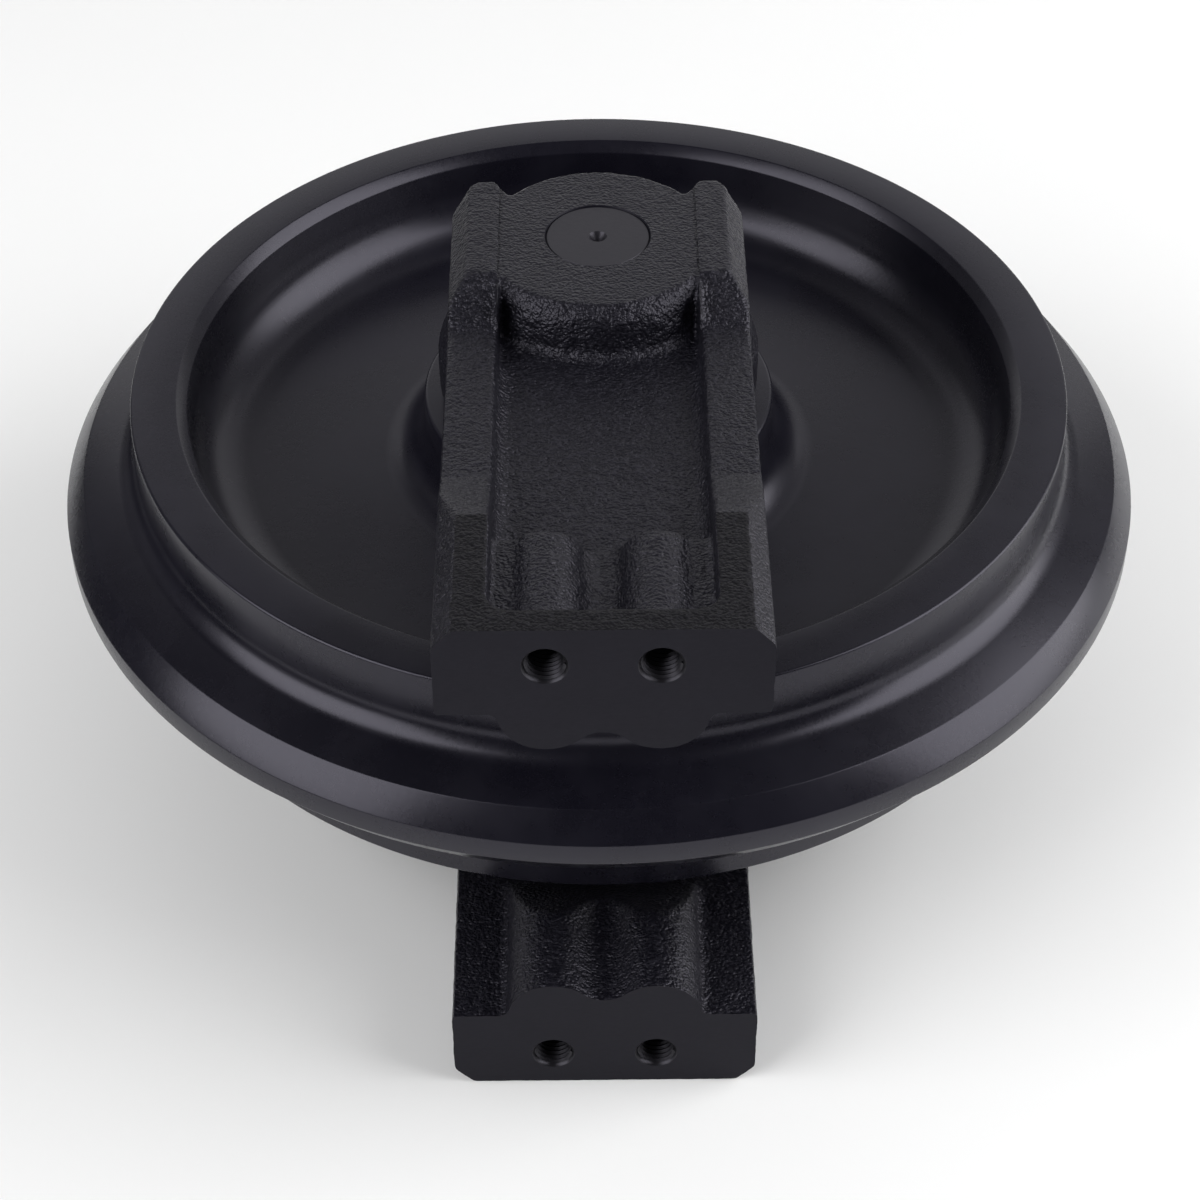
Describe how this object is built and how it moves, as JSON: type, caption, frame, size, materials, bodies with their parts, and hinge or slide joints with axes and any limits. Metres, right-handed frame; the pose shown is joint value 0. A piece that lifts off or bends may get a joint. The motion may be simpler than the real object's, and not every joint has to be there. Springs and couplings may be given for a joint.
{
  "type": "excavator front idler",
  "caption": "Flanged track idler wheel on a fixed axle between cast guide brackets that slide in a track frame and bolt to the tensioner; oil-filled hub with face seals.",
  "frame": {"origin": "centre of the wheel, on the axle", "axes": "+Z along the axle, upwards as the idler lies on its lower bracket; -Y towards the bolted faces of the brackets; +X across the brackets, which is up or down on the machine"},
  "size_m": [0.43, 0.438, 0.232],
  "materials": {
    "wheel_paint": "satin black paint over turned steel",
    "bracket_paint": "satin black paint over rough sand casting",
    "shaft_steel": "ground steel, painted black on its ends",
    "bushing_bronze": "machined bronze lining",
    "seal_iron": "lapped cast iron",
    "seal_rubber": "matt rubber",
    "pin_steel": "blued spring steel",
    "plug_steel": "zinc plated steel",
    "gasket_copper": "soft copper"
  },
  "bodies": {
    "axle": {"axle_shaft": "shaft_steel", "upper_bracket": "bracket_paint", "lower_bracket": "bracket_paint", "upper_bracket_seal_ring": "seal_iron", "lower_bracket_seal_ring": "seal_iron", "upper_bracket_toric": "seal_rubber", "lower_bracket_toric": "seal_rubber", "upper_shaft_o_ring": "seal_rubber", "lower_shaft_o_ring": "seal_rubber", "upper_lock_pin": "pin_steel", "lower_lock_pin": "pin_steel", "oil_plug": "plug_steel", "plug_gasket": "gasket_copper"},
    "wheel": {"idler_wheel": "wheel_paint", "upper_bushing": "bushing_bronze", "lower_bushing": "bushing_bronze", "upper_hub_seal_ring": "seal_iron", "lower_hub_seal_ring": "seal_iron", "upper_hub_toric": "seal_rubber", "lower_hub_toric": "seal_rubber"}
  },
  "joints": [
    {"name": "wheel_spin", "type": "hinge", "parent": "axle", "child": "wheel", "pos_m": [0, 0, 0], "axis": [0, 0, 1], "continuous": true}
  ]
}
